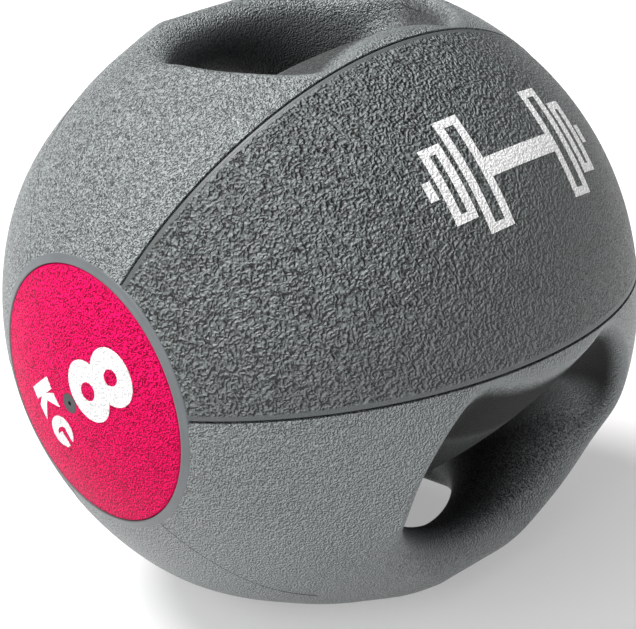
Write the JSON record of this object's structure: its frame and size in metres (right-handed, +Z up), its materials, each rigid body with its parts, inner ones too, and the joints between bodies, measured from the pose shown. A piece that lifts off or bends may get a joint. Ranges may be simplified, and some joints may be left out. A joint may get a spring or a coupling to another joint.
{
  "type": "medicine ball",
  "caption": "Round rubber exercise ball of two-tone panels with moulded hand grips through the top and bottom, coloured end discs and a needle valve.",
  "frame": {"origin": "centre of the ball", "axes": "-X out through the valve in the marked end disc; +Z up as the ball lies at rest on its lower hand opening"},
  "size_m": [0.2799, 0.28, 0.256],
  "materials": {
    "cover_grey": "grained matte",
    "disc_red": "grained matte",
    "mark_white": "matte",
    "weight_rubber": "matte",
    "bladder_rubber": "satin",
    "valve_rubber": "satin"
  },
  "bodies": {
    "root": {"upper_grip": "cover_grey", "lower_grip": "cover_grey", "front_side_panel": "cover_grey", "rear_side_panel": "cover_grey", "upper_handle_panel": "cover_grey", "lower_handle_panel": "cover_grey", "valve_side_disc": "disc_red", "plain_side_disc": "disc_red", "valve_side_numeral": "mark_white", "valve_side_unit_letters": "mark_white", "plain_side_numeral": "mark_white", "plain_side_unit_letters": "mark_white", "front_panel_emblem": "mark_white", "front_weight_wall": "weight_rubber", "rear_weight_wall": "weight_rubber", "bladder": "bladder_rubber", "valve_patch": "bladder_rubber", "valve_sleeve": "bladder_rubber", "valve_insert": "valve_rubber"}
  },
  "joints": []
}
